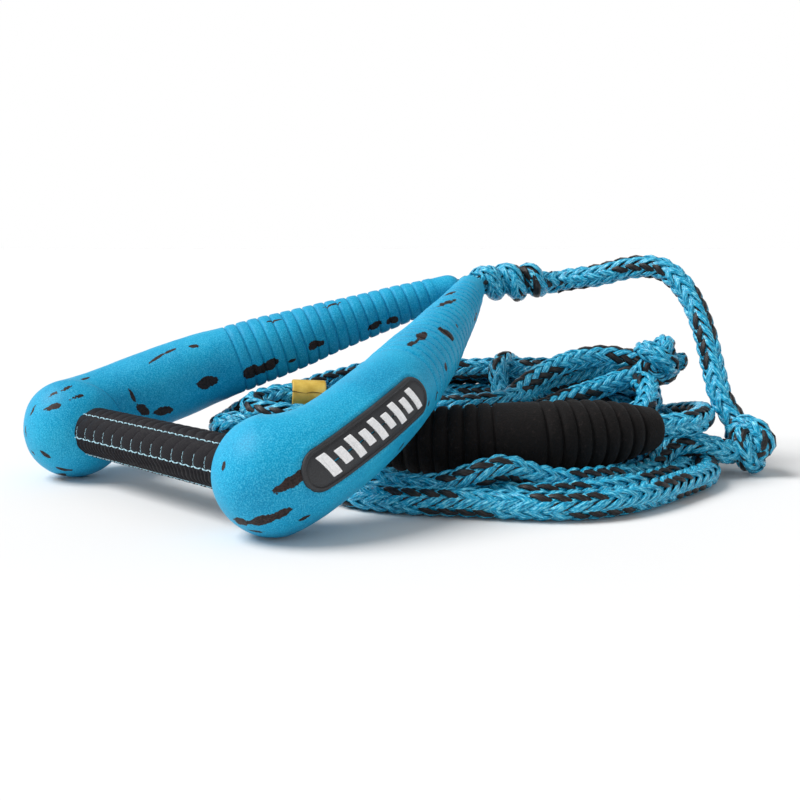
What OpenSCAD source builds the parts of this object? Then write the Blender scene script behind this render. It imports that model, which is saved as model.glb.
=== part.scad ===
// Tow rope handle: a triangular foam-armed handle with its rope coiled beside it.
// +X is the pull direction, +Y runs along the bar to the rider's left, +Z is up.
// The origin lies on the floor, below the middle of the handle and its knot.

/* [Handle] */
// Distance from the middle of the bar to the centre of each end bulb
bulb_offset = 101; // [96:1:104]
// Radius of the round bulb at each end of the bar
bulb_r = 30.5; // [29:0.5:31.5]
// Radius of each arm at its tip
tip_r = 10; // [8:0.5:10]
// Angle between the handle and the floor that it leans up from
handle_tilt = 19.2; // [19:0.1:20]

/* [Bar and grip] */
// Outside diameter of the aluminium bar tube
tube_d = 22; // [20:0.5:23]
// Wall thickness of the bar tube
tube_wall = 1.6; // [1.2:0.1:1.9]
// Outside diameter of the foam layer of the grip
foam_d = 27; // [25:0.5:27.5]
// Outside diameter of the finished grip
grip_d = 29.5; // [29:0.5:31]

/* [Badge] */
// Length of the badge on the outside of each arm
badge_len = 102; // [80:1:110]
// Width of the badge
badge_w = 21; // [16:0.5:24]

/* [Rope] */
// Diameter of the tow rope
rope_d = 15; // [13:0.5:15]
// Diameter of the bridle cord that runs through the bar and both arms
bridle_d = 10; // [8:0.5:10]

/* [Coil] */
// Half of the coil's outside width, along its long direction
coil_long = 156; // [150:1:158]
// Half of the coil's outside width, along its short direction
coil_short = 142; // [138:1:144]
// Width of the ring of turns
coil_ring = 90; // [70:1:96]

/* [Float] */
// Largest diameter of the foam float
float_d = 42; // [38:1:42]
// Diameter of the float at its ends
float_end_d = 23; // [21:1:25]
// Length of the float along the rope
float_len = 172; // [150:1:174]
// Number of ribs on each side of the float's middle band
float_ribs = 7; // [5:1:9]

/* [Hidden] */
bar_x = -137;                       // the bar's place along X
gap = 0.3;                          // running clearance
tube_len = 196;                     // cut length of the bar tube
grip_half = 80;                     // half of the grip's length, ends tucked into the bulbs
plug_len = 14;                      // length of each end plug
arm_sides = 22;                     // flats around an arm
arm_steps = 24;                     // rings along an arm
// Arm centreline in the handle's own plane: Bezier points [along the pull, along the bar].
arm_ctrl = [[0, bulb_offset], [31, bulb_offset + 31], [168, 54], [243, tip_r + 0.5]];
// Arm radius against the Bezier parameter.
arm_radius = [[0, bulb_r], [0.1, 27], [0.2, 24.6], [0.4, 24.4], [0.6, 20.5], [0.8, 14.8], [1, tip_r]];
badge_t = 0.256;                    // the badge's middle along the arm
badge_lift = 14.5;                  // turn of the badge from straight out towards straight up
badge_sink = 1.6;                   // depth of the badge's recess
badge_rise = 0.8;                   // height of the badge above the foam
mark_count = 9;                     // raised bars on each badge
mark_pitch = 9.2;
mark_half = 2.4;                    // half the width of one bar
mark_lean = 20;
// The knot that ties the bridle to the tow rope.
knot_base = [109, 0, 115];
knot_len = 60;
knot_turn = -25;
knot_end_r = 8;                     // the knot ends in a ball on the handle's lifting axis
pivot = knot_base + knot_len * [cos(knot_turn), sin(knot_turn), 0];
// Tow rope from the apex knot up, over and down to the knot on the floor.
lead_route = [
    [168, -33, 117], [174, -52, 120], [184, -76, 126], [190, -96, 124], [191, -114, 109],
    [187, -129, 87], [181, -141, 63], [175, -152, 43], [172, -163, 28], [171, -172, 19]
];
lead_knot_at = [172, -173, 18.6];
// The coil, its lifted turns and the pieces lying on it.
coil_at = [43, -50, 0];
coil_turn = -43;
layer_h = 15;
finger_x = -97;                     // the turns stay clear of the space for the fingers
loop_route = [[78, -62, 46], [98, -56, 48], [122, -52, 50], [144, -58, 53], [160, -76, 57], [168, -98, 62]];
loop_knot_at = [171, -106, 66];
tail_route = [[176, -112, 66], [182, -117, 66], [188, -121, 65]];
sleeve_at = [-22, 26, 50];
sleeve_turn = -35;
// The float's bent rope: a flat arc, leaning up a little to the right.
arc_r = 230;
arc_heading = -40;
arc_lean = 2.3;
arc_middle = [25, -113, 31];
arc_centre = arc_middle + arc_r * [-sin(arc_heading), cos(arc_heading), 0];
float_half = float_len / 2 / arc_r * 180 / PI;
float_travel = 4.5;                 // degrees of float travel each way
bore_gap = 0.35;

function unit(v) = v / norm(v);
function bez(p, t) = pow(1 - t, 3) * p[0] + 3 * pow(1 - t, 2) * t * p[1]
    + 3 * (1 - t) * t * t * p[2] + pow(t, 3) * p[3];
function bez_dir(p, t) = unit(pow(1 - t, 2) * (p[1] - p[0])
    + 2 * (1 - t) * t * (p[2] - p[1]) + t * t * (p[3] - p[2]));
function flat(p) = [p[0], p[1], 0];

// A smooth curve through hand-set points: point number i plus a fraction f.
function knot_point(p, i) = p[max(0, min(len(p) - 1, i))];
function smooth_at(p, i, f) =
    let (a = knot_point(p, i - 1), b = p[i], c = knot_point(p, i + 1), d = knot_point(p, i + 2))
    b + 0.5 * f * (c - a) + f * f * (a - 2.5 * b + 2 * c - 0.5 * d)
    + f * f * f * (1.5 * (b - c) + 0.5 * (d - a));
function smooth_route(p, per) = [
    for (i = [0:len(p) - 2]) for (k = [0:per - 1]) smooth_at(p, i, k / per),
    p[len(p) - 1]
];
function route_dir(p, i) = unit(p[min(i + 1, len(p) - 1)] - p[max(i - 1, 0)]);

// A ring is [centre, direction, radius]. The skin joins rings into one closed solid.
function route_rings(p, r) = [for (i = [0:len(p) - 1]) [p[i], route_dir(p, i), r]];
function ring_points(ring, ref, sides) =
    let (side = unit(cross(ref, ring[1])), up = cross(ring[1], side))
    [for (k = [0:sides - 1])
        ring[0] + ring[2] * (cos(360 * k / sides) * side + sin(360 * k / sides) * up)];
module skin(rings, ref, sides) {
    points = [for (ring = rings) each ring_points(ring, ref, sides)];
    last = (len(rings) - 1) * sides;
    walls = [
        for (i = [0:len(rings) - 2]) for (k = [0:sides - 1])
            let (a = i * sides + k, b = i * sides + (k + 1) % sides)
            each [[a, a + sides, b + sides], [a, b + sides, b]]
    ];
    ends = [[for (k = [0:sides - 1]) k], [for (k = [sides - 1:-1:0]) last + k]];
    polyhedron(points, concat(walls, ends), convexity = 8);
}

// The handle's plane: x along the pull, y along the bar, z out of the plane.
module in_handle() {
    translate([bar_x, 0, bulb_r]) rotate([0, -handle_tilt, 0]) children();
}
module mirrored(side) {
    mirror([0, side < 0 ? 1 : 0, 0]) children();
}

// One foam arm, from the round bulb to the rounded tip, thicker by grow.
module arm_solid(grow) {
    first = flat(bez_dir(arm_ctrl, 0));
    end = flat(bez_dir(arm_ctrl, 1));
    bulb = bulb_r + grow;
    tip = tip_r + grow;
    skin(concat(
        [for (a = [84:-14:14]) [flat(arm_ctrl[0]) - bulb * sin(a) * first, first, bulb * cos(a)]],
        [for (i = [0:arm_steps])
            let (t = i / arm_steps)
            [flat(bez(arm_ctrl, t)), flat(bez_dir(arm_ctrl, t)), lookup(t, arm_radius) + grow]],
        [for (a = [25:25:75]) [flat(arm_ctrl[3]) + tip * sin(a) * end, end, tip * cos(a)]]
    ), [0, 0, 1], arm_sides);
}

// Half of the bridle's route, from the knot down the arm and round into the bar.
function bridle_half() = concat(
    [[265, bridle_d / 2 + 0.2, 0], [256, bridle_d / 2 + 2, 0]],
    [for (t = [1:-0.05:0.2]) flat(bez(arm_ctrl, t))],
    [for (f = [0.2:0.2:1]) flat(bez([bez(arm_ctrl, 0.2), [13, 110], [0, 113], [0, 97]], f))]
);
module bridle_solid(r) {
    half = bridle_half();
    other = [for (i = [len(half) - 1:-1:0]) [half[i][0], -half[i][1], 0]];
    skin(route_rings(concat(half, [[0, 0, 0]], other), r), [0, 0, 1], 10);
}

module along_bar(from, to, d) {
    translate([0, from, 0]) rotate([-90, 0, 0]) cylinder(h = to - from, d = d, $fn = 64);
}

// Places its children on the outside of the left arm, with z straight out of the foam.
module at_badge() {
    dir = bez_dir(arm_ctrl, badge_t);
    translate(flat(bez(arm_ctrl, badge_t))) rotate([0, 0, atan2(dir[1], dir[0])])
        rotate([badge_lift - 90, 0, 0]) children();
}
module stadium(length, width) {
    hull() for (s = [-1, 1]) translate([s * (length - width) / 2, 0]) circle(d = width, $fn = 32);
}
module badge_prism(extra) {
    at_badge() linear_extrude(bulb_r + 6) stadium(badge_len + extra, badge_w + extra);
}

module arm_part(side) {
    in_handle() mirrored(side) difference() {
        arm_solid(0);
        along_bar(60, grip_half + gap, grip_d + 2 * gap);
        along_bar(60, tube_len / 2 + gap, tube_d + gap);
        bridle_solid(bridle_d / 2 + 0.6);
        difference() {
            badge_prism(gap);
            arm_solid(-badge_sink);
        }
    }
}
module badge_part(side) {
    in_handle() mirrored(side) intersection() {
        badge_prism(-gap);
        difference() {
            arm_solid(badge_rise);
            arm_solid(gap - badge_sink);
        }
    }
}
module badge_marks_part(side) {
    span = (mark_count - 1) * mark_pitch;
    in_handle() mirrored(side) intersection() {
        at_badge() linear_extrude(bulb_r + 6) for (i = [0:mark_count - 1]) {
            high = badge_w * (i % 2 == 0 ? 0.3 : 0.2);
            lean = high * tan(mark_lean);
            translate([i * mark_pitch - span / 2, 0])
                polygon([[-mark_half - lean, -high], [mark_half - lean, -high],
                         [mark_half + lean, high], [-mark_half + lean, high]]);
        }
        difference() {
            arm_solid(badge_rise + 1);
            arm_solid(badge_rise + 0.1);
        }
    }
}
module plug_part(side) {
    in_handle() mirrored(side) difference() {
        along_bar(tube_len / 2 - plug_len, tube_len / 2, tube_d - 2 * tube_wall - 0.2);
        along_bar(tube_len / 2 - plug_len - 1, tube_len / 2 + 1, bridle_d + 1.5);
    }
}

module bar_tube() {
    color("silver") in_handle() difference() {
        along_bar(-tube_len / 2, tube_len / 2, tube_d);
        along_bar(-tube_len, tube_len, tube_d - 2 * tube_wall);
    }
}
module bar_plug_left() { color("dimgray") plug_part(1); }
module bar_plug_right() { color("dimgray") plug_part(-1); }

module grip_foam() {
    color("gray") in_handle() difference() {
        along_bar(-grip_half, grip_half, foam_d);
        along_bar(-grip_half - 1, grip_half + 1, tube_d + 0.1);
    }
}

// Fabric cover with a low ridge at each pleat.
module grip_cover() {
    pleats = 20;
    pitch = 2 * grip_half / pleats;
    outline = [for (i = [0:pleats - 1]) each [
        [grip_d / 2 - 0.7, i * pitch], [grip_d / 2, (i + 0.35) * pitch], [grip_d / 2, (i + 0.65) * pitch]
    ]];
    color("#26272c") in_handle() translate([0, -grip_half, 0]) rotate([-90, 0, 0])
        rotate_extrude($fn = 48) polygon(concat(
            [[foam_d / 2 + 0.05, 0]], outline,
            [[grip_d / 2 - 0.7, 2 * grip_half], [foam_d / 2 + 0.05, 2 * grip_half]]));
}

// Three rows of long stitches along the cover.
module grip_stitching() {
    stitches = 18;
    pitch = 7.4;
    thread = 0.9;
    color("lightblue") in_handle() for (turn = [-35, 30, 95]) for (i = [0:stitches - 1])
        rotate([0, turn, 0]) translate([-grip_d / 2 - thread / 2 - 0.05, (i - stitches / 2) * pitch, 0])
            rotate([-90, 0, 0]) cylinder(h = 5, d = thread, $fn = 16);
}

module arm_left() { color("#33b1d6") arm_part(1); }
module arm_right() { color("#33b1d6") arm_part(-1); }
module badge_left() { color("#3e4044") badge_part(1); }
module badge_right() { color("#3e4044") badge_part(-1); }
module badge_marks_left() { color("white") badge_marks_part(1); }
module badge_marks_right() { color("white") badge_marks_part(-1); }

module bridle_rope() { color("#1391b7") in_handle() bridle_solid(bridle_d / 2); }

// Wrapped knot with three bulges, narrowing to the ball at its far end.
module apex_knot() {
    outline = [for (i = [0:18])
        let (z = i / 18 * knot_len, swell = 1.8 * sin(180 * z / knot_len) + 0.9 * cos(18 * z))
        [z < 46 ? 10.6 + swell : knot_end_r + (knot_len - z) / 14 * (2.9 + swell), z]];
    color("#6ac3e8") translate(knot_base) rotate([0, 0, knot_turn]) rotate([0, 90, 0]) {
        rotate_extrude($fn = 40) polygon(concat([[0, 0]], outline, [[0, knot_len]]));
        translate([0, 0, knot_len]) sphere(r = knot_end_r, $fn = 40);
    }
}

module tow_rope() {
    route = smooth_route(lead_route, 3);
    color("#1391b7") skin(route_rings(route, rope_d / 2), unit([0.68, 0.73, 0]), 12);
}

// Overhand knot: a ball with two crossed turns of rope round it.
module overhand(r) {
    turn_r = rope_d / 2;
    sphere(r = r - 3, $fn = 40);
    rotate([62, 0, 20]) rotate_extrude($fn = 48) translate([r - turn_r, 0]) circle(r = turn_r, $fn = 32);
    rotate([-40, 35, 0]) rotate_extrude($fn = 48) translate([r - turn_r, 0]) circle(r = turn_r, $fn = 32);
}
module lead_knot() { color("#6ac3e8") translate(lead_knot_at) overhand(18.5); }
module loop_knot() { color("#6ac3e8") translate(loop_knot_at) overhand(17); }

// Part of the coil's oval ring, between two angles, with straight ends.
function oval(a, b, angle) = [a * cos(angle), b * sin(angle)];
module ring_part(from, to, trim, ring) {
    steps = 40;
    a = coil_long - trim;
    b = coil_short - trim;
    angles = [for (i = [0:steps]) from + (to - from) * i / steps];
    polygon(concat(
        [for (v = angles) oval(a, b, v)],
        [for (i = [steps:-1:0]) oval(a - ring, b - ring, angles[i])]
    ));
}
module arm_room(side, from, to, r) {
    a = bez(arm_ctrl, from);
    dir = bez(arm_ctrl, to) - a;
    in_handle() mirrored(side) translate(flat(a)) rotate([0, 0, atan2(dir[1], dir[0])])
        rotate([0, 90, 0]) cylinder(h = norm(dir), r = r, $fn = 48);
}
module in_float_arc() {
    translate(arc_centre) rotate([0, -arc_lean, arc_heading]) children();
}
module arc_tube(half, r) {
    in_float_arc() rotate([0, 0, -90 - half]) rotate_extrude(angle = 2 * half, $fn = 120)
        translate([arc_r, 0]) circle(r = r, $fn = 40);
}

// Outer shape of all the turns: two layers all round, and two more over the back.
module ring(trim) {
    hole = coil_ring;
    difference() {
        polygon([for (v = [0:9:351]) oval(coil_long - trim, coil_short - trim, v)]);
        polygon([for (v = [0:9:351]) oval(coil_long - hole, coil_short - hole, v)]);
    }
}
module rope_coil() {
    color("#1391b7") difference() {
        translate(coil_at) rotate([0, 0, coil_turn]) {
            linear_extrude(layer_h) ring(0);
            linear_extrude(2 * layer_h) ring(14);
            linear_extrude(3 * layer_h) ring_part(-30, 205, 8, coil_ring - 8);
            linear_extrude(4 * layer_h) ring_part(-18, 135, 10, coil_ring - 10);
        }
        arc_tube(float_half + float_travel + 0.6, float_d / 2 + 0.8);
        for (side = [-1, 1]) {
            arm_room(side, 0.05, 0.3, 30.2);
            arm_room(side, 0.25, 0.5, 26.8);
            arm_room(side, 0.45, 0.75, 24.4);
        }
        translate([finger_x - 60, -100, -1]) cube([60, 200, 80]);
    }
}
module float_rope() {
    color("#1391b7") arc_tube(float_half + float_travel + 2.5, rope_d / 2);
}

// Barrel float: a plain middle band, ribs with narrow grooves between, and plain ends.
module swim_float() {
    band = 13;
    end_len = 16;
    groove = 1.2;
    half = float_len / 2;
    pitch = (half - band - end_len) / float_ribs;
    cuts = concat([band], [for (i = [1:float_ribs]) band + i * pitch]);
    color("#1c1819") in_float_arc() difference() {
        union() {
            float_piece(-band, band, float_d / 2);
            for (s = [-1, 1]) {
                for (i = [0:float_ribs - 1])
                    float_piece(s * (cuts[i] + groove), s * cuts[i + 1], barrel_r(cuts[i] + pitch / 2));
                for (c = cuts) float_piece(s * (c - 1), s * (c + groove + 1), barrel_r(c + pitch) - 1);
                float_piece(s * (cuts[float_ribs] + groove), s * half, float_end_d / 2 + 1);
            }
        }
        rotate([0, 0, -90 - float_half - 2]) rotate_extrude(angle = 2 * float_half + 4, $fn = 120)
            translate([arc_r, 0]) circle(r = rope_d / 2 + bore_gap, $fn = 40);
    }
}
function barrel_r(s) = float_end_d / 2 + (float_d - float_end_d) / 2 * cos(90 * pow(s / (float_len / 2), 1.6));
module float_piece(from, to, r) {
    a = min(from, to) / arc_r * 180 / PI;
    b = max(from, to) / arc_r * 180 / PI;
    rotate([0, 0, -90 + a]) rotate_extrude(angle = b - a, $fn = 120)
        translate([arc_r, 0]) circle(r = r, $fn = 48);
}

// The eye at the rope's far end lies flat, its two legs side by side.
module tow_loop() {
    route = smooth_route(loop_route, 4);
    color("#1391b7") for (s = [-1, 1])
        skin(route_rings([for (p = route) p + s * rope_d / 2 * 0.62 * [0.68, 0.73, 0]], rope_d / 2 - 0.5),
            [0, 0, 1], 12);
}
module loop_tail() {
    color("#1391b7") skin(route_rings(smooth_route(tail_route, 3), rope_d / 2 - 1), [0, 0, 1], 12);
}
module marker_sleeve() {
    color("#d6b54f") translate(sleeve_at) rotate([0, 90, sleeve_turn])
        cylinder(h = 30, d = rope_d + 6, center = true, $fn = 48);
}

bar_tube();
bar_plug_left();
bar_plug_right();
grip_foam();
grip_cover();
grip_stitching();
arm_left();
arm_right();
badge_left();
badge_right();
badge_marks_left();
badge_marks_right();
bridle_rope();
apex_knot();
tow_rope();
lead_knot();
rope_coil();
float_rope();
swim_float();
tow_loop();
loop_knot();
loop_tail();
marker_sleeve();
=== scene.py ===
"""Tow rope handle with its rope coiled beside it.

Lengths are in metres, apart from the points given to mm() and coil() and the sizes of the flakes.
"""
from math import atan2, cos, pi, radians, sin, tan

import bpy
import numpy as np
from mathutils import Matrix, Vector


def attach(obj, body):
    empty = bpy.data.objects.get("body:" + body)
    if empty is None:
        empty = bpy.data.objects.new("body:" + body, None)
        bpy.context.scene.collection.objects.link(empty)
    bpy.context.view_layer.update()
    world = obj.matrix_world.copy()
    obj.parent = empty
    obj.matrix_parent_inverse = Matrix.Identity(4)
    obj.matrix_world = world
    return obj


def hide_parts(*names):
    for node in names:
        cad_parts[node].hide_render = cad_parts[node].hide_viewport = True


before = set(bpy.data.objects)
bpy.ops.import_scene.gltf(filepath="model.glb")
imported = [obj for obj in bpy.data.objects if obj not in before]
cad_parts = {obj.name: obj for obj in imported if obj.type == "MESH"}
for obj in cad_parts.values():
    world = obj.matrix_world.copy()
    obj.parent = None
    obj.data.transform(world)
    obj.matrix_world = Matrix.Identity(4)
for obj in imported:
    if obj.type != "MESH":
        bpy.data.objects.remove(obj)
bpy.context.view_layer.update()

MM = 0.001
TINY = 1e-9          # keeps a division away from 0
UP = np.array([0.0, 0.0, 1.0])

scene = bpy.context.scene


def add_object(name, data):
    """A new object in the scene that shows the given data."""
    made = bpy.data.objects.new(name, data)
    scene.collection.objects.link(made)
    return made


# ---- camera ----

camera_data = bpy.data.cameras.new("camera")
camera_data.lens = 52.58
camera_data.sensor_width = 36.0
camera = add_object("camera", camera_data)
camera.location = (-0.4699, -0.5503, 0.1404)
camera.rotation_euler = Vector((0.6731, 0.7278, -0.1312)).to_track_quat("-Z", "Y").to_euler()
scene.camera = camera

# ---- small helpers ----


def unit(v):
    """Vectors of length one, for one vector or a row of them."""
    v = np.asarray(v, float)
    return v / np.maximum(np.linalg.norm(v, axis=-1, keepdims=True), 1e-12)


def lengths(v):
    """Length of each vector in a block of them."""
    return np.linalg.norm(v, axis=-1)


def bell(off, width):
    """1 where off is 0, falling smoothly towards 0 over about twice the width."""
    return np.exp(-((off / width) ** 2))


def round_angles(count):
    """Even angles once round, from 0."""
    return np.linspace(0, 2 * pi, count, endpoint=False)


def turn_from(middle, angle):
    """Angles measured from a middle one, between minus and plus half a turn."""
    return (angle - middle + pi) % (2 * pi) - pi


def fan(angle, side, up):
    """Unit vectors turned from side towards up, one for each angle."""
    return np.cos(angle)[..., None] * side + np.sin(angle)[..., None] * up


def smooth_line(points, per):
    """A smooth curve through given points, with per steps between two of them."""
    p = np.array(points, float)
    p = np.vstack([2 * p[0] - p[1], p, 2 * p[-1] - p[-2]])
    f = (np.arange(per) / per)[:, None]
    out = []
    for a, b, c, d in zip(p[:-3], p[1:-2], p[2:-1], p[3:]):
        square = a - 2.5 * b + 2 * c - 0.5 * d
        cube = 1.5 * (b - c) + 0.5 * (d - a)
        out.append(b + 0.5 * f * (c - a) + f**2 * square + f**3 * cube)
    out.append(p[-2:-1])
    return np.vstack(out)


def run_along(line):
    """Distance along a line at each of its points."""
    return np.concatenate([[0.0], np.cumsum(lengths(np.diff(line, axis=0)))])


def spaced(line, step):
    """The same line with points an even step apart."""
    run = run_along(line)
    count = max(2, int(round(run[-1] / step)))
    at = np.linspace(0.0, run[-1], count + 1)
    return np.column_stack([np.interp(at, run, line[:, k]) for k in range(3)])


def frames_along(line):
    """Direction and two side vectors at each point of a line, with no sudden twist."""
    along = unit(np.gradient(line, axis=0))
    side = np.zeros_like(line)
    start = np.cross(along[0], UP)
    if np.linalg.norm(start) < 0.1:
        start = np.cross(along[0], (1.0, 0.0, 0.0))
    side[0] = unit(start)
    for i in range(1, len(line)):
        turned = side[i - 1] - along[i] * np.dot(side[i - 1], along[i])
        side[i] = turned / np.linalg.norm(turned)
    return along, side, np.cross(along, side)


def ring_round(line, sides):
    """Ways out from a line, an even ring of them at each of its points."""
    along, side, up = frames_along(line)
    return fan(round_angles(sides), side[:, None], up[:, None])


def make_mesh(name, points, faces, uvs=None, slots=None, smooth=True):
    """An object from rows of points and lists of faces. uvs has one pair for each face corner."""
    mesh = bpy.data.meshes.new(name)
    mesh.from_pydata(points, [], faces)
    mesh.polygons.foreach_set("use_smooth", np.full(len(faces), smooth))
    if slots is not None:
        mesh.polygons.foreach_set("material_index", np.asarray(slots, np.int32))
    if uvs is not None:
        layer = mesh.uv_layers.new(name="weave")
        layer.data.foreach_set("uv", np.asarray(uvs, np.float32).reshape(-1))
    mesh.validate()
    return add_object(name, mesh)


def grid_faces(rows, columns, offset=0):
    """Quads of a grid of points, its columns closed round into a tube."""
    i, k = np.meshgrid(np.arange(rows - 1), np.arange(columns), indexing="ij")
    a = offset + i * columns + k
    b = offset + i * columns + (k + 1) % columns
    return np.stack([a, b, b + columns, a + columns], axis=-1).reshape(-1, 4)


def hoop_faces(rows, columns):
    """Quads of a tube whose last row of points meets its first row again."""
    a = (rows - 1) * columns + np.arange(columns)
    b = np.arange(columns)
    closing = np.stack([a, np.roll(a, -1), np.roll(b, -1), b], -1)
    return np.vstack([grid_faces(rows, columns), closing])


def capped_faces(rows, columns, offset=0):
    """Faces of a closed tube: its quads, then one face over each end."""
    head = range(offset + columns - 1, offset - 1, -1)
    tail = range(offset + (rows - 1) * columns, offset + rows * columns)
    return [*grid_faces(rows, columns, offset).tolist(), list(head), list(tail)]


def grid_uvs(run, columns):
    """Corner coordinates that go with grid_faces: distance along, and share of the way round."""
    i, k = np.meshgrid(np.arange(len(run) - 1), np.arange(columns), indexing="ij")
    u = np.stack([run[i], run[i], run[i + 1], run[i + 1]], axis=-1)
    v = np.stack([k, k + 1, k + 1, k], axis=-1) / columns
    return np.stack([u, v], axis=-1).reshape(-1, 2)


def joined_tubes(name, tubes, slots=None):
    """One closed mesh from several tubes, each a (rings, around, 3) block of points."""
    faces, uvs, marks = [], [], []
    offset = 0
    for number, tube in enumerate(tubes):
        rows, columns = tube.shape[:2]
        closed = capped_faces(rows, columns, offset)
        faces.extend(closed)
        uvs.append(grid_uvs(run_along(tube.mean(axis=1)), columns))
        uvs.append(np.zeros((2 * columns, 2)))
        marks.extend([slots[number] if slots else 0] * len(closed))
        offset += rows * columns
    return make_mesh(name, np.vstack([tube.reshape(-1, 3) for tube in tubes]), faces, np.vstack(uvs), marks)


def lumps(points, size, seed):
    """Soft, repeatable unevenness between about -1 and 1, with features of the given size."""
    rng = np.random.default_rng(seed)
    total = np.zeros(len(points))
    for _ in range(7):
        direction = unit(rng.normal(size=3))
        wave = 2 * pi / (size * rng.uniform(0.7, 1.6))
        total += np.sin(points @ direction * wave + rng.uniform(0, 2 * pi))
    return total / 3.2


# ---- materials ----


class Shader:
    """A small helper that lays out the nodes of one material or world."""

    def __init__(self, name, kind="materials"):
        self.owner = getattr(bpy.data, kind).new(name)
        self.owner.use_nodes = True
        self.tree = self.owner.node_tree

    def feed(self, target, inputs):
        """Sets each input of a node to a value, or links it to another node's output."""
        for key, value in inputs.items():
            if isinstance(value, bpy.types.NodeSocket):
                self.tree.links.new(value, target.inputs[key])
            else:
                target.inputs[key].default_value = value

    def node(self, kind, inputs=None, **settings):
        made = self.tree.nodes.new("ShaderNode" + kind)
        for key, value in settings.items():
            setattr(made, key, value)
        self.feed(made, inputs or {})
        return made

    def place(self, stretch=(1, 1, 1), uv=False):
        """Coordinates of the object itself, or of its own UV map, scaled by stretch."""
        source = self.node("TexCoord").outputs["UV" if uv else "Object"]
        return self.node("Mapping", {"Vector": source, "Scale": stretch}).outputs["Vector"]

    def noise(self, place, scale, detail=3.0, rough=0.55, twist=0.0):
        inputs = {"Vector": place, "Scale": scale, "Detail": detail, "Roughness": rough, "Distortion": twist}
        return self.node("TexNoise", inputs).outputs["Fac"]

    def cells(self, place, scale, **settings):
        return self.node("TexVoronoi", {"Vector": place, "Scale": scale}, **settings).outputs["Distance"]

    def ramp(self, value, *stops):
        """Colours from a value; each stop is its place and its colour."""
        made = self.node("ValToRGB", {"Fac": value})
        elements = made.color_ramp.elements
        while len(elements) < len(stops):
            elements.new(0.5)
        for element, (at, colour) in zip(elements, stops):
            element.position = at
            element.color = (*colour, 1.0)
        return made.outputs["Color"]

    def span(self, value, low, high, to_low=0.0, to_high=1.0):
        """Brings a value from one range to another, with eased ends."""
        inputs = {"Value": value, "From Min": low, "From Max": high, "To Min": to_low, "To Max": to_high}
        return self.node("MapRange", inputs, interpolation_type="SMOOTHSTEP").outputs["Result"]

    def mix(self, share, a, b):
        a, b = [(*colour, 1.0) if isinstance(colour, tuple) else colour for colour in (a, b)]
        return self.node("Mix", {0: share, 6: a, 7: b}, data_type="RGBA").outputs[2]

    def done(self, colour, rough, *bumps, **rest):
        """Feeds the surface; each bump is (height, strength, distance), and they are stacked."""
        inputs = {"Base Color": colour, "Roughness": rough}
        inputs.update({key.replace("_", " "): value for key, value in rest.items()})
        for height, strength, distance in bumps:
            bump = self.node("Bump", {"Height": height, "Strength": strength, "Distance": distance})
            if "Normal" in inputs:
                self.feed(bump, {"Normal": inputs["Normal"]})
            inputs["Normal"] = bump.outputs["Normal"]
        self.feed(self.tree.nodes["Principled BSDF"], inputs)
        return self.owner


def srgb(*colour):
    """Linear colour from the usual 0 to 255 numbers."""
    shares = [value / 255 for value in colour]
    return tuple(v / 12.92 if v <= 0.04045 else ((v + 0.055) / 1.055) ** 2.4 for v in shares)


def rope_material(name, dark, middle, light, gloss):
    """Polypropylene yarn: fine fibre streaks along each strand, the darkest of them painted shade and the
    lightest painted glints.
    """
    s = Shader(name)
    streaks = s.noise(s.place((260, 9, 1), uv=True), 1.0, 4.0, 0.6)
    patches = s.noise(s.place(), 90.0, 2.0)
    threads = s.noise(s.place((120, 26, 1), uv=True), 1.0, 2.0)
    # The dark colour is painted shade and the light colour painted glints; the middle one is the yarn's own.
    fibres_shade_and_glints = s.ramp(streaks, (0.36, dark), (0.49, middle), (0.68, light))
    colour = s.mix(s.span(patches, 0.3, 0.75, 0.0, 0.20), fibres_shade_and_glints, middle)
    rough = s.span(streaks, 0.3, 0.7, gloss + 0.12, gloss)
    return s.done(colour, rough, (threads, 0.55, 0.0006), Specular_IOR_Level=0.36)


def grained(name, low, high, rough, bump=(0.25, 0.0004), scale=700.0, detail=3.0, stops=(0.3, 0.7)):
    """A plain material whose fine grain sets its colour, its roughness and its bump."""
    s = Shader(name)
    grain = s.noise(s.place(), scale, detail)
    colour = s.ramp(grain, (stops[0], srgb(*low)), (stops[1], srgb(*high)))
    return s.done(colour, s.span(grain, 0.3, 0.7, *rough), (grain, *bump))


def dress(piece, body, slot, looks, *nodes):
    """Gives a piece its body, its materials and the CAD nodes that it replaces; slot is not used."""
    for look in looks:
        piece.data.materials.append(look)
    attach(piece, body)
    if nodes:
        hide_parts(*nodes)
    return piece


# Each rope's first colour is painted shade and its last is painted glints, on the blue and on the black
# strands.
rope_blue = rope_material("rope_blue", srgb(0, 80, 116), srgb(0, 160, 204), srgb(146, 236, 252), 0.18)
rope_black = rope_material("rope_black", srgb(6, 6, 8), srgb(17, 16, 18), srgb(60, 58, 60), 0.34)

# ---- the rope's route ----

ROPE_D = 0.015
ROPE_R = ROPE_D / 2
BRAID_R = 0.0080           # out to the crowns of the strands, which press into each other
STEP = 0.008
PIVOT = np.array([0.163378, -0.025357, 0.115])
COIL = np.array([0.043, -0.050])
RIGHTWARD = np.array([0.7314, -0.6820])
AWAY = np.array([0.6820, 0.7314])
LEAD_KNOT = np.array([0.172, -0.173, 0.0186])
END_KNOT = np.array([0.171, -0.106, 0.066])
SLEEVE = np.array([-0.021, 0.023, 0.045])

# The handle lies in its own plane: x along the pull, y along the bar.
BAR_X = -0.137
BULB_R = 0.0305
TILT = radians(19.2)
ARM_CONTROL = np.array([[0, 0.101], [0.031, 0.132], [0.168, 0.054], [0.243, 0.0105]])
ARM_RADIUS_AT = [0, 0.1, 0.2, 0.4, 0.6, 0.8, 1]
ARM_RADIUS = [0.0305, 0.027, 0.0246, 0.0244, 0.0205, 0.0148, 0.010]

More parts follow.
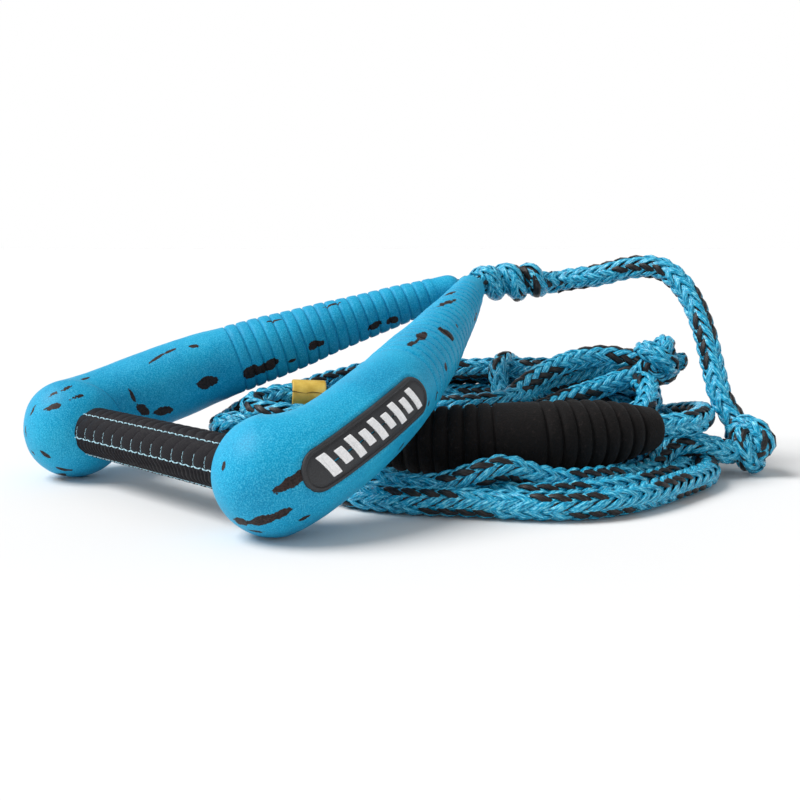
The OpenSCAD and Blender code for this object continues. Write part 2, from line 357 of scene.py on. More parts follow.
# The float lies along a flat arc of the rope.
ARC_R = 0.230
ARC_CENTRE = np.array([0.172841, 0.063190, 0.031])
ARC_LEAN = radians(2.3)
ARC_HEADING = radians(-40)
FLOAT_HALF = 0.086
FLOAT_TRAVEL = 0.018
FLOAT_R = 0.021
FLOAT_END_R = 0.0115


def mm(*points):
    """Points in metres from points in millimetres."""
    return [tuple(value / 1000 for value in point) for point in points]


def coil_point(right, away, z):
    """A point of the coil from its own two directions."""
    x, y = COIL + right * RIGHTWARD + away * AWAY
    return (x, y, z)


def coil(*points):
    """Points in metres from points in the coil's own two directions, in millimetres."""
    return [coil_point(*point) for point in mm(*points)]


def turned(points, axis, angle):
    """Rows of points turned about an axis through the origin."""
    matrix = np.array(Matrix.Rotation(angle, 3, axis))
    return np.asarray(points, float) @ matrix.T


def on_arc(along, out=0.0, rise=0.0):
    """Points on the float's arc, out from its centre line and up from its plane."""
    along = np.asarray(along, float)
    angle = along / ARC_R - pi / 2
    radius = ARC_R + out
    flat = np.stack([radius * np.cos(angle), radius * np.sin(angle), np.broadcast_to(rise, angle.shape)], -1)
    return ARC_CENTRE + turned(turned(flat, "Y", -ARC_LEAN), "Z", ARC_HEADING)


def float_radius(along):
    """The float's barrel shape."""
    share = np.clip(np.abs(along) / FLOAT_HALF, 0, 1) ** 1.6
    return FLOAT_END_R + (FLOAT_R - FLOAT_END_R) * np.cos(share * pi / 2)


def handle_point(x, y, z=0.0):
    """From the handle's own plane to the frame."""
    x, y, z = np.broadcast_arrays(x, y, z)
    along = BAR_X + x * cos(TILT) - z * sin(TILT)
    return np.stack([along, y, BULB_R + x * sin(TILT) + z * cos(TILT)], -1)


def arm_centre(t):
    """Arm centreline in the handle's plane."""
    t = np.asarray(t, float)[..., None]
    a, b, c, d = ARM_CONTROL
    return (1 - t) ** 3 * a + 3 * (1 - t) ** 2 * t * b + 3 * (1 - t) * t**2 * c + t**3 * d


def arm_direction(t):
    t = np.asarray(t, float)[..., None]
    a, b, c, d = ARM_CONTROL
    return unit((1 - t) ** 2 * (b - a) + 2 * (1 - t) * t * (c - b) + t**2 * (d - c))


def arm_radius(t):
    return np.interp(t, ARM_RADIUS_AT, ARM_RADIUS)


route = []        # listed points, each with how firmly it is held: 0 free, 1 fixed


def go(points, hold):
    for point in points:
        route.append((point, hold))


def back_turn(left, back, right, heights, hold, first=0, last=0):
    """The far half of one turn, from the left end round the back to the right end."""
    angles = list(range(200, -1, -20))
    low_left, low_back, low_right = heights
    for angle in angles[first:len(angles) - last]:
        c = cos(radians(angle))
        s = sin(radians(angle))
        across = (left if c < 0 else right) * abs(c) ** 0.9 * (1 if c > 0 else -1)
        depth = (back if s > 0 else 0.060) * s
        share = min(1.0, abs(90 - angle) / 90)
        z = low_back + ((low_left if angle > 90 else low_right) - low_back) * share
        go([coil_point(across, depth, z)], hold if s > 0.5 else hold / 2)


def front_turn(depth, z):
    """The near half of one of the inner turns, behind the float."""
    for k in range(6):
        share = k / 5
        bow = 0.022 * (2 * share - 1) ** 2
        go([coil_point(0.100 - 0.170 * share, depth + bow, z)], 0.05)


# From the knot at the handle's tip down to the knot on the floor.
go([tuple(PIVOT)], 1)
go(mm((168, -33, 117), (174, -52, 120), (184, -76, 126), (190, -96, 124), (191, -114, 109), (187, -129, 87),
      (181, -141, 63), (176, -150.5, 45), (175.5, -161, 31.5), (170, -169, 21), (159, -171, 16.5),
      (147, -168.5, 16.5)), 1)
# The upper of the two turns along the front.
go(mm((130, -163.5, 16.5), (93, -157, 15.5), (48, -157, 15.5), (18, -152, 15), (-6, -143, 15),
      (-24, -131, 15), (-41, -111, 14), (-57, -92, 12)), 0.3)
back_turn(0.140, 0.120, 0.134, (0.008, 0.008, 0.008), 0.2)
# A turn on the floor, hidden behind the lowest one.
go(coil((124, -42, 8), (104, -72, 8), (78, -92, 8), (52, -101, 8), (26, -105, 8), (0, -101, 8),
        (-30, -96, 8), (-62, -84, 8), (-96, -58, 12)), 0.15)
back_turn(0.137, 0.119, 0.140, (0.022, 0.023, 0.010), 0.2)
# The lowest turn along the front.
go(mm((162, -155, 9), (130, -166, 8), (100, -180, 7.5), (74, -187, 7.5), (46, -190, 7.5), (26, -189, 7.5),
      (7, -186, 7.5), (-12, -175, 7.5), (-25, -160, 7.5), (-37, -143, 7.5), (-49, -118, 7.5),
      (-57, -93, 7.5), (-64, -70, 8)), 0.3)
back_turn(0.128, 0.120, 0.146, (0.024, 0.038, 0.030), 0.2, 1, 3)
# Down the right end and through the float.
go(mm((184, -68, 27), (190, -92, 29), (190, -112, 33), (182, -130, 36), (170, -142, 37)), 0.35)
go([tuple(on_arc(s)) for s in np.arange(0.1140, -0.1150, -0.0095)], 1)
go(mm((-50, 2, 22)), 0)
# The inner turns, each a far half and then a near half: the far half's left end, back, right end and
# heights, how many of its first points are left out, and the near half's depth and height.
for left, back, right, heights, first, depth, z in (
    (0.108, 0.105, 0.122, (0.012, 0.008, 0.008), 2, -0.026, 0.008),
    (0.094, 0.105, 0.120, (0.008, 0.023, 0.022), 1, -0.010, 0.008),
    (0.110, 0.104, 0.130, (0.024, 0.038, 0.037), 1, -0.024, 0.022),
    (0.095, 0.119, 0.132, (0.024, 0.053, 0.050), 1, -0.010, 0.024),
):
    back_turn(left, back, right, heights, 0.2, first, 1)
    front_turn(depth, z)
back_turn(0.146, 0.106, 0.132, (0.026, 0.059, 0.057), 0.25, 1, 1)
# The last turn ends in a bight at the left, and comes back across to the tow loop.
go(coil((100, -12, 38), (60, -25, 38), (20, -22, 38), (-25, -24, 38)), 0.1)
go(mm((-22, -24, 39), (-40, -15, 41)), 0.1)
go(mm((-54.3, -5.2, 43), (-63.2, 8.2, 44), (-60, 23.9, 45), (-46.6, 32.8, 46)), 0.8)
go(mm((-32.2, 30.2, 46), (-21, 23, 45), (-9, 15, 46)), 0.96)
go(mm((12, 0, 48), (35, -28, 46)), 0.2)
go(mm((58, -52, 45)), 0.3)
go(mm((78, -62, 46), (98, -56, 48), (122, -52, 50), (144, -58, 53), (160, -76, 57), (168, -98, 62)), 0.6)

GAP = 0.99 * ROPE_D          # closest that two stretches of rope come
FLOOR = BRAID_R + 0.0001
FINGER_X = -0.0895           # the rope stays clear of the space for the fingers
MIN_CHORD = 0.0311           # shortest chord over four steps, which limits the tightest bend
KNOT_CLEAR = 0.0185 + ROPE_R   # from the middle of the floor knot to rope that passes it
FALL = 0.00012               # how far the rope drops in one round


def obstacles():
    """Spheres along both arms, and along all that the float sweeps, that the rope stays outside."""
    t = np.linspace(0.0, 0.9, 46)
    centre = arm_centre(t)
    arms = np.vstack([handle_point(centre[:, 0], side * centre[:, 1]) for side in (-1, 1)])
    along = np.arange(-FLOAT_HALF - FLOAT_TRAVEL, FLOAT_HALF + FLOAT_TRAVEL + 0.001, 0.006)
    nearest = np.maximum(np.abs(along) - FLOAT_TRAVEL, 0)
    return (arms, np.tile(arm_radius(t), 2)), (on_arc(along), float_radius(nearest))


def ease_bends(x, free):
    """Evens out the bend along the rope, and opens what bends more tightly than MIN_CHORD allows."""
    bend = np.zeros_like(x)
    bend[1:-1] = 0.5 * (x[:-2] + x[2:]) - x[1:-1]
    ease = np.zeros_like(x)
    ease[2:-2] = bend[2:-2] - 0.5 * (bend[1:-3] + bend[3:-1])
    x += 0.35 * ease * free
    for _ in range(2):
        chord = x[4:] - x[:-4]
        length = lengths(chord)
        short = np.maximum(0, MIN_CHORD - length) / np.maximum(length, TINY) * 0.3
        push = chord * short[:, None]
        move = np.zeros_like(x)
        move[4:] += push
        move[:-4] -= push
        x += move * free


def shares(free, a, b):
    """How the points of each pair share a move: a fixed point takes none of it."""
    both = np.maximum(free[a, 0] + free[b, 0], TINY)
    return free[a, 0] / both, free[b, 0] / both


def part(x, free, first, second):
    """Moves stretches of the rope that are closer than GAP away from each other."""
    between = x[first] - x[second]
    length = np.maximum(lengths(between), TINY)
    close = length < GAP
    a, b = first[close], second[close]
    push = between[close] * ((GAP - length[close]) / length[close])[:, None]
    share_a, share_b = shares(free, a, b)
    move = np.zeros_like(x)
    np.add.at(move, a, push * share_a[:, None])
    np.add.at(move, b, -push * share_b[:, None])
    times = np.zeros(len(x))
    np.add.at(times, a, free[a, 0])
    np.add.at(times, b, free[b, 0])
    x += 0.9 * move / np.maximum(times, 1)[:, None]


def keep_out(x, spheres, skip):
    """Moves points that lie inside a row of spheres most of the way out."""
    centres, sizes = spheres
    away = x[:, None] - centres[None]
    depth = lengths(away) - (sizes + ROPE_R + 0.0001)[None]
    worst = depth.argmin(axis=1)
    inside = (depth[np.arange(len(x)), worst] < 0) & ~skip
    picked = worst[inside]
    x[inside] -= unit(away[inside, picked]) * depth[inside, picked][:, None] * 0.8


def even_out(x, free, step):
    """Brings neighbouring points back to one step apart, so that the rope keeps its length."""
    for start in (0, 1):
        a = np.arange(start, len(x) - 1, 2)
        b = a + 1
        between = x[b] - x[a]
        length = np.maximum(lengths(between), TINY)
        off = (length - step) / length
        share_a, share_b = shares(free, a, b)
        x[a] += between * (off * share_a)[:, None]
        x[b] -= between * (off * share_b)[:, None]


def settle(rounds=400, per=8):
    """Lets the listed route relax until its turns lie on each other and on the floor."""
    line = smooth_line([point for point, _ in route], per)
    run = run_along(line)
    x = spaced(line, STEP)
    aim = x.copy()
    step = run[-1] / (len(x) - 1)
    hold = np.interp(np.linspace(0, run[-1], len(x)), run[::per], [hold for _, hold in route])
    fixed = hold > 0.97
    free = (~fixed)[:, None].astype(float)
    arms, float_sweep = obstacles()
    # Rope that runs inside the float isn't pushed out of it.
    near_float = lengths(x[:, None] - float_sweep[0][None]).min(axis=1) < 0.004
    in_float = np.convolve(near_float & fixed, np.ones(9), "same") > 0.5
    knot_node = int(lengths(x - LEAD_KNOT).argmin())
    by_knot = np.abs(np.arange(len(x)) - knot_node) <= 6
    for number in range(rounds):
        if number > 60:
            x[~fixed, 2] -= FALL
        pull = 0.25 if number < rounds - 100 else 0.1
        x += (aim - x) * (hold * pull)[:, None]
        ease_bends(x, free)
        if number % 4 == 0:
            square = (x * x).sum(axis=1)
            apart = square[:, None] + square[None] - 2 * x @ x.T
            first, second = np.nonzero(np.triu(apart < 0.026**2, 5))
        for _ in range(2):
            part(x, free, first, second)
            keep_out(x, arms, fixed)
            keep_out(x, float_sweep, in_float | fixed)
            away = x - LEAD_KNOT
            length = lengths(away)
            inside = (length < KNOT_CLEAR) & ~fixed & ~by_knot
            x[inside] += unit(away[inside]) * (KNOT_CLEAR - length[inside])[:, None]
            x[~fixed, 2] = np.maximum(x[~fixed, 2], FLOOR)
            x[~fixed, 0] = np.maximum(x[~fixed, 0], FINGER_X)
            even_out(x, free, step)
    return x


rope_line = settle()

# ---- braided rope ----

# Cross-section of one flattened strand: sideways and outward, as shares of its width and thickness.
STRAND_SHAPE = [(-0.5, 0.05), (-0.33, 0.36), (0.0, 0.5), (0.33, 0.36), (0.5, 0.05), (0.0, -0.45)]


def strand_tubes(line, radius, pairs, pitch, ring, direction, start):
    """The strands of a braid that wind one way round a line, each over two and under two."""
    fine = spaced(smooth_line(line, 4), ring)
    run = run_along(fine)
    along, side, up = frames_along(fine)
    width = 0.94 * pitch / pairs * sin(atan2(2 * pi * radius * 0.8, pitch))
    thick = 0.27 * radius
    wave = 0.125 * radius
    middle = radius - wave - 0.5 * thick
    tubes = []
    for number in range(pairs):
        angle = direction * 2 * pi * run / pitch + 2 * pi * number / pairs + start
        weave = np.cos(pairs / 2 * angle)
        out = fan(angle, side, up)
        centre = fine + (middle + direction * wave * weave)[:, None] * out
        out = unit(out)
        across = np.cross(unit(np.gradient(centre, axis=0)), out)
        tube = [centre + a * width * across + b * thick * out for a, b in STRAND_SHAPE]
        tubes.append(np.stack(tube, axis=1))
    return tubes


def braid(name, line, body, *nodes, ways=(1, -1), radius=BRAID_R, pairs=8, pitch=0.076, ring=0.0032,
          start=0.0, dark=(0, 1, 2, 3)):
    """A braided rope as one mesh, of the strands that wind each of the given ways."""
    tubes, marks = [], []
    for way in ways:
        tubes += strand_tubes(line, radius, pairs, pitch, ring, way, start)
        marks += [int(way > 0 and number in dark) for number in range(pairs)]
    return dress(joined_tubes(name, tubes, marks), body, "rope", [rope_blue, rope_black], *nodes)


rope_a = braid("tow_rope_braid_a", rope_line, "root", "tow_rope", "rope_coil", "float_rope", "tow_loop",
               ways=(1,))
rope_b = braid("tow_rope_braid_b", rope_line, "root", ways=(-1,))

# ---- knots and the pieces on the rope ----


def knot_line(centre, size, turn, count=60):
    """An overhand knot drawn tight, as a closed line."""
    t = np.linspace(0, 2 * pi, count + 1)
    reach = size * (0.42 + 0.17 * np.cos(3 * t))
    flat = np.stack([reach * np.cos(2 * t), reach * np.sin(2 * t), 0.40 * size * np.sin(3 * t)], -1)
    for axis, angle in turn:
        flat = turned(flat, axis, radians(angle))
    return flat + centre


lead_line = knot_line(LEAD_KNOT, 0.0187, [("X", 90), ("Z", 47), ("Y", 20)])
lead_knot = braid("lead_knot_braid", lead_line, "root", "lead_knot", radius=0.0076, pitch=0.066, ring=0.0028)
end_line = knot_line(END_KNOT, 0.0175, [("X", 90), ("Z", 30), ("Y", -35)])
end_knot = braid("end_knot_braid", end_line, "root", "loop_knot", radius=0.0074, pitch=0.064, ring=0.0028)

TAIL = mm((171, -107, 65), (175, -111, 65.5), (179, -114.5, 65.5), (183, -117.5, 65))
tail_line = smooth_line(TAIL, 4)
tail = braid("rope_tail", tail_line, "root", "loop_tail", radius=0.0060, pitch=0.060)

# The tow loop's eye: out of the end knot, round at the left and back.
EYE = mm((170.1, -103.4, 64), (163.7, -90.5, 65.4), (152, -76.5, 67.9), (136.1, -65, 65.4),
         (114.7, -60, 59.3), (93.3, -58.3, 50.4), (77.2, -60, 42.3), (70, -64.1, 36.2), (75.5, -71.5, 34.5),
         (94.2, -72.2, 36.8), (114.9, -74.4, 41.6), (140.2, -82.8, 48.1), (158.5, -93, 55.4),
         (170.4, -104, 62.8))
tow_eye = braid("tow_loop_eye", smooth_line(EYE, 4), "root", radius=0.0076, start=1.0)

# A short bight pushed up out of the pile behind the eye.
BIGHT = mm((170, 15, 48), (153.5, 6, 56), (137, -2, 60), (125, -7, 56), (121, -12, 45), (119.5, -18, 33),
           (119, -24, 21))
bight = braid("rope_pile_bight", smooth_line(BIGHT, 4), "root", radius=0.0074, start=0.4)


def hoop(name, line, outer, inner, sides=48):
    """A short hollow tube along a line; outer and inner are one radius for each point."""
    ring = ring_round(line, sides)
    outside = line[:, None] + outer[:, None, None] * ring
    inside = line[:, None] + inner[:, None, None] * ring
    points = np.concatenate([outside, inside[::-1]])
    return make_mesh(name, points.reshape(-1, 3), hoop_faces(len(points), sides))


def sleeve_pieces(half=0.0105, outer=0.0106, inner=0.0080):
    """The marker sleeve on the stretch of rope nearest SLEEVE, and the raised seam along its front."""
    near = int(lengths(rope_line - SLEEVE).argmin())
    way = unit(rope_line[near + 2] - rope_line[near - 2])
    share = np.array([-1, -0.985, -0.95, -0.88, -0.6, -0.2, 0.2, 0.6, 0.88, 0.95, 0.985, 1])
    line = rope_line[near] + share[:, None] * half * way
    rim = [0.0007, 0.0003, 0.0001, 0, 0, 0]
    round_off = np.array(rim + rim[::-1])
    tube = hoop("marker_tube", line, outer - round_off, np.full(len(share), inner))
    front = unit(np.cross(way, UP)) * 0.93 + UP * 0.36
    crease = line + (outer - 0.0001 - round_off)[:, None] * unit(front)
    crease += 0.0006 * np.sin(5 * share)[:, None] * UP
    ring = fan(round_angles(8), front, np.cross(way, front))
    return tube, joined_tubes("marker_tube_seam", [crease[:, None] + 0.00028 * ring[None]])


def marker_material():
    s = Shader("marker_plastic")
    stain = s.noise(s.place(), 120.0, 4.0, 0.6)
    scuff = s.noise(s.place(), 900.0, 2.0)
    colour = s.ramp(stain, (0.3, srgb(196, 156, 52)), (0.55, srgb(222, 186, 82)), (0.8, srgb(232, 206, 120)))
    return s.done(colour, s.span(scuff, 0.3, 0.7, 0.34, 0.5), (scuff, 0.12, 0.0003))


sleeve, sleeve_seam = sleeve_pieces()
dress(sleeve, "root", "marker_plastic", [marker_material()], "marker_sleeve")
seam_look = grained("marker_seam", (92, 66, 24), (140, 104, 40), (0.5, 0.65))
dress(sleeve_seam, "root", "marker_plastic", [seam_look])

# ---- float ----


def float_profile():
    """Radius along the float: ribs with narrow round-edged grooves, a plain band and plain ends."""
    band, plain_end, groove, ribs = 0.013, 0.016, 0.0013, 7
    groove_deep, edge_deep, edge_wide, rib_swell = 0.0021, 0.0005, 0.0009, 0.00035
    rim_long, rim_deep = 0.0035, 0.0028
    pitch = (FLOAT_HALF - band - plain_end) / ribs
    cuts = [band + i * pitch for i in range(ribs + 1)]
    along = np.linspace(0, FLOAT_HALF, 330)
    radius = float_radius(along)
    half = 0.9 * groove
    for cut in cuts:
        off = np.abs(along - (cut + groove / 2))
        radius -= groove_deep * np.clip(1 - (off / half) ** 2, 0, 1) ** 0.6
        radius -= edge_deep * bell(off - half, edge_wide) * (off > half)
    for cut in cuts[:-1]:
        middle = cut + groove + (pitch - groove) / 2
        radius += rib_swell * bell(along - middle, 0.32 * pitch)
    rim = np.clip((along - (FLOAT_HALF - rim_long)) / rim_long, 0, 1)
    radius -= rim_deep * (1 - np.sqrt(np.maximum(0, 1 - rim**2)))
    return along, radius


def float_piece():
    along, radius = float_profile()
    along = np.concatenate([-along[:0:-1], along])
    radius = np.concatenate([radius[:0:-1], radius])
    sides = 72
    angles = round_angles(sides)

    def ring_at(s, r):
        return on_arc(np.full(sides, s), r * np.cos(angles), r * np.sin(angles))

    flat = np.array([ring_at(s, r) for s, r in zip(along, radius)]).reshape(-1, 3)
    soft = lumps(flat, 0.022, 5)[:, None] * 0.00018
    flat += unit(flat - np.repeat(on_arc(along), sides, axis=0)) * soft
    # The bore widens towards both ends.
    bores = [(1.0, 0.0096), (0.985, 0.0090), (0.9, 0.0087), (-0.9, 0.0087), (-0.985, 0.0090), (-1.0, 0.0096)]
    inside = np.array([ring_at(share * FLOAT_HALF, bore) for share, bore in bores]).reshape(-1, 3)
    faces = hoop_faces(len(along) + len(bores), sides)
    return make_mesh("float_foam_body", np.vstack([flat, inside]), faces)


def float_material():
    s = Shader("float_foam")
    place = s.place()
    cells = s.cells(place, 1100.0)
    dust = s.noise(place, 420.0, 4.0, 0.7)
    colour = s.ramp(dust, (0.35, srgb(10, 9, 9)), (0.6, srgb(22, 19, 19)), (0.8, srgb(54, 47, 45)))
    return s.done(colour, s.span(dust, 0.3, 0.7, 0.7, 0.9), (cells, 0.35, 0.0007), (dust, 0.3, 0.0006),
                  Specular_IOR_Level=0.12, Sheen_Weight=0.03, Sheen_Roughness=0.6)


swim_float = dress(float_piece(), "float", "float_foam", [float_material()], "swim_float")

# ---- foam arms ----

LEFT, RIGHT = 1, -1
BADGE_LIFT = radians(14.5)
BADGE_T = 0.256
RIB_FROM = {LEFT: 0.1165, RIGHT: 0.1075}   # first groove on each arm
RIB_TO = 0.257
RIB_PITCH = 0.0075

# Dark flakes in the foam: distance from the bulb's centre and length, both in millimetres, with the
# angle round the arm, width and slant: (along, angle, length, width, slant). Angle 0 is the outside.
FLAKES = {
    RIGHT: [(-18, 336, 11, 6, 20), (-5, 341, 20, 6, 14), (-11, 323, 11, 2.2, 5), (6, 12, 11, 5, 35),
            (6, 327, 4, 3, 0), (62, 325, 6, 1.8, 20), (-19, 45, 5, 3, 60), (119, 65, 13, 3.5, -12),
            (133, 63, 15, 6, 4), (153, 36, 14, 8, -65), (197, 73, 24, 5, -16), (222, 88, 13, 5, -30),
            (127, 3, 6, 5, 10), (106, 342, 6, 4, 40), (92, 348, 5, 2, 20), (217, 351, 10, 3, 8),
            (151, 342, 6, 2, 30), (172, 28, 4, 2, 30)],
    LEFT: [(123, 196, 18, 9, 4), (133, 197, 20, 8, -6), (168, 189, 13, 6, 5), (210, 197, 11, 6, -8),
           (223, 201, 9, 6, 10), (188, 110, 14, 2.4, -5), (147, 115, 13, 2, 5), (40, 162, 10, 4, 88),
           (43, 186, 13, 7, 55), (57, 202, 14, 7, 15), (92, 184, 15, 9, 12), (66, 120, 15, 2.4, -16),
           (77, 115, 11, 3, -6), (92, 121, 8, 3.4, 22), (-23, 90, 13, 4, 88), (17, 107, 12, 3, -5),
           (-18, 300, 16, 5, 30), (-16, 120, 13, 2.6, 50), (150, 203, 6, 3, 0),
           (-18, 24, 10, 2.6, 68), (-35, 345, 8, 3.2, 60), (-24, 353, 5, 2.4, 45), (-30, 289, 12, 3.4, -75),
           (-14, 90, 7, 2.3, 65), (-17, 55, 10, 2.3, 70), (-10, 105, 9, 2.5, 40)],
}


def arm_stations():
    """Ring centres, directions, radii and distance along one arm, from bulb to tip."""
    fine = np.linspace(0, 1, 801)
    run = run_along(arm_centre(fine))
    plain = np.arange(0, 0.104, 0.0014)
    ribbed = np.arange(0.104, 0.259, 0.00042)
    places = np.concatenate([plain, ribbed, np.linspace(0.2595, run[-1], 6)])
    t = np.interp(places, run, fine)
    along = np.interp(t, fine, run)
    centre = arm_centre(t)
    direction = arm_direction(t)
    smooth_r = arm_radius(t)
    for _ in range(60):
        smooth_r[1:-1] = 0.25 * smooth_r[:-2] + 0.5 * smooth_r[1:-1] + 0.25 * smooth_r[2:]
    cap = np.radians(np.linspace(88.5, 3, 27))[:, None]
    bulb = smooth_r[0]
    first = centre[0] - bulb * np.sin(cap) * direction[0]
    tip_cap = np.radians(np.linspace(10, 86, 9))[:, None]
    tip = smooth_r[-1]
    last = centre[-1] + tip * np.sin(tip_cap) * direction[-1]
    centres = np.vstack([first, centre, last])
    ends = [np.tile(way, (len(cap), 1)) for way, cap in ((direction[0], first), (direction[-1], last))]
    directions = np.vstack([ends[0], direction, ends[1]])
    radii = np.concatenate([bulb * np.cos(cap[:, 0]), smooth_r, tip * np.cos(tip_cap[:, 0])])
    distance = np.concatenate([-bulb * cap[:, 0], along, along[-1] + tip * tip_cap[:, 0]])
    return centres, directions, radii, distance


def rib_relief(distance, side):
    """Rounded bands with narrow grooves between them."""
    phase = (distance - RIB_FROM[side]) / RIB_PITCH
    off = np.abs(phase - np.round(phase)) * RIB_PITCH
    groove_deep, groove_half, crown_high, sunk = 0.0012, 0.00055, 0.00045, 0.0001
    groove = -groove_deep * bell(off, groove_half)
    crown = crown_high * (1 - np.clip(1 - off / (RIB_PITCH / 2), 0, 1) ** 2.5) - sunk
    inside = (distance > RIB_FROM[side] - 0.0015) & (distance < RIB_TO)
    fade = np.clip((distance - RIB_FROM[side]) / 0.002, 0, 1)
    return np.where(inside, groove + crown * fade, 0.0)


def lay(places):
    """Places or directions of the handle's plane, with a height of 0."""
    return np.concatenate([places, np.zeros(places.shape[:-1] + (1,))], -1)


def outward(directions):
    """The way out of the handle, square to each direction along an arm."""
    return lay(np.stack([-directions[..., 1], directions[..., 0]], -1))


def badge_frame():
    """Centre of the badge and its own three directions, in the handle's plane, for the left arm."""
    at = np.array(BADGE_T)
    along = lay(arm_direction(at))
    lifted = cos(BADGE_LIFT) * outward(arm_direction(at)) + sin(BADGE_LIFT) * UP
    return lay(arm_centre(at)), along, np.cross(lifted, along), lifted


BADGE_L = 0.102
BADGE_W = 0.021


def stadium_inset(x, y):
    """How far inside the badge's outline a point lies; negative outside."""
    straight = (BADGE_L - BADGE_W) / 2
    return BADGE_W / 2 - np.hypot(np.maximum(np.abs(x) - straight, 0), y)


def arm_surface(centres, directions, radii, angles):
    """Points of one arm in the handle's plane, and the outward direction at each."""
    ring = fan(angles, outward(directions)[:, None], UP)
    return lay(centres)[:, None] + radii[:, None, None] * ring, ring


def mirrored(name, points, faces, side, smooth=True):
    """A mesh from points of the left arm in the handle's plane, mirrored for the right arm."""
    points = np.array(points).reshape(-1, 3)
    points[:, 1] *= side
    if side == LEFT:
        faces = [face[::-1] for face in faces]
    return make_mesh(name, handle_point(*points.T), faces, smooth=smooth)


def flake_field(distance, angles, radii, flakes):
    """Nearness to the closest flake, from 1 at its middle to 0 at twice its size."""
    field = np.zeros((len(distance), len(angles)))
    for along, angle, length, width, slant in flakes:
        du = (distance - along * MM)[:, None]
        dv = turn_from(radians(angle), angles) * np.maximum(radii, 0.012)[:, None]
        a = radians(slant)
        far = np.hypot((du * cos(a) + dv * sin(a)) / (length * MM),
                       (-du * sin(a) + dv * cos(a)) / (width * MM))
        field = np.maximum(field, 1 - far)
    return np.clip(field, 0, 1)


def foam_material():
    """Moulded EVA foam: leathery grain, faint mottling, creases and dark flakes, with painted glints in the
    grain's lightest specks.
    """
    s = Shader("arm_foam")
    place = s.place()
    mottle = s.noise(place, 24.0)
    grain = s.noise(place, 1500.0, 2.0, 0.6)
    pores = s.cells(place, 620.0, feature="DISTANCE_TO_EDGE")
    creases = s.noise(place, 70.0, 5.0, 0.7, 1.4)
    base = s.ramp(mottle, (0.32, srgb(0, 140, 186)), (0.52, srgb(8, 158, 202)), (0.72, srgb(34, 172, 212)))
    # Fine speckle of the foam's grain; its lightest specks are painted glints.
    speckle_and_glints = s.ramp(grain, (0.36, srgb(0, 112, 156)), (0.5, srgb(12, 158, 202)), (0.64, srgb(96, 204, 232)))
    shard = s.ramp(s.noise(place, 900.0, 2.0), (0.3, srgb(24, 18, 18)), (0.7, srgb(62, 48, 46)))
    ragged = s.noise(place, 150.0, 5.0, 0.66, 0.5)
    flake = s.node("Attribute", attribute_name="flake").outputs["Fac"]
    edge = s.node("Math", {0: ragged, 1: 0.80, 2: flake}, operation="MULTIPLY_ADD").outputs[0]
    colour = s.mix(s.span(edge, 0.93, 0.955), s.mix(0.42, base, speckle_and_glints), shard)
    return s.done(colour, s.span(grain, 0.3, 0.7, 0.40, 0.60), (creases, 0.10, 0.002),
                  (pores, 0.16, 0.0006), (grain, 0.30, 0.0004), Specular_IOR_Level=0.18)


def arm_relief(points, distance, angles, side):
    """Height of the foam above its plain surface: ribs, parting lines, lumps and the badge's seat."""
    rows, around = points.shape[:2]
    relief = np.repeat(rib_relief(distance, side)[:, None], around, axis=1)
    # Parting line of the mould along the middle of the badge and opposite it.
    for line_angle in (BADGE_LIFT, BADGE_LIFT + pi):
        relief += 0.00012 * bell(turn_from(line_angle, angles) * 0.024, 0.0011)[None, :]
    flat = points.reshape(-1, 3)
    relief += (lumps(flat, 0.045, 11 + side) * 0.00030).reshape(rows, around)
    relief += (lumps(flat, 0.014, 21 + side) * 0.00009).reshape(rows, around)
    # The badge is pressed into the foam, which swells a little round it.
    centre, along, across, lifted = badge_frame()
    local = flat - centre
    inset = stadium_inset(local @ along, local @ across)
    lip = 0.0005 * bell(inset + 0.0016, 0.0013)
    sink = -0.0010 * np.clip((inset + 0.0004) / 0.0008, 0, 1)
    relief += np.where((local @ lifted) > 0, lip + sink, 0.0).reshape(rows, around)
    return relief


def all_flakes(side):
    """The flakes that show, and others made up for the arm's hidden faces."""
    rng = np.random.default_rng(40 + side)
    hidden = (130, 300) if side == RIGHT else (235, 430)
    ranges = ((-20, 235), hidden, (5, 18), (2, 7), (-40, 40))
    return FLAKES[side] + [tuple(rng.uniform(*limits) for limits in ranges) for _ in range(13)]


def arm_piece(name, side):
    centres, directions, radii, distance = arm_stations()
    around = 112
    angles = round_angles(around)
    points, ring = arm_surface(centres, directions, radii, angles)
    points = points + arm_relief(points, distance, angles, side)[:, :, None] * ring
    pole_a = points[0].mean(axis=0) + lay(-directions[0]) * 0.0002
    pole_b = points[-1].mean(axis=0) + lay(directions[-1]) * 0.0006
    rows = len(points)
    k = np.arange(around)
    head = rows * around
    end = head - around + k
    faces = grid_faces(rows, around).tolist()
    faces += np.stack([np.full(around, head), np.roll(k, -1), k], -1).tolist()
    faces += np.stack([np.full(around, head + 1), end, np.roll(end, -1)], -1).tolist()
    piece = mirrored(name, np.vstack([points.reshape(-1, 3), pole_a, pole_b]), faces, side)
    field = flake_field(distance, angles, radii, all_flakes(side))
    layer = piece.data.attributes.new("flake", "FLOAT", "POINT")
    layer.data.foreach_set("value", np.append(field.reshape(-1), [0, 0]).astype(np.float32))
    return piece


arm_foam = foam_material()
for name, side in (("left", LEFT), ("right", RIGHT)):
    arm = dress(arm_piece(f"arm_{name}_foam", side), "handle", "arm_foam", [arm_foam], f"arm_{name}")

# ---- badges ----


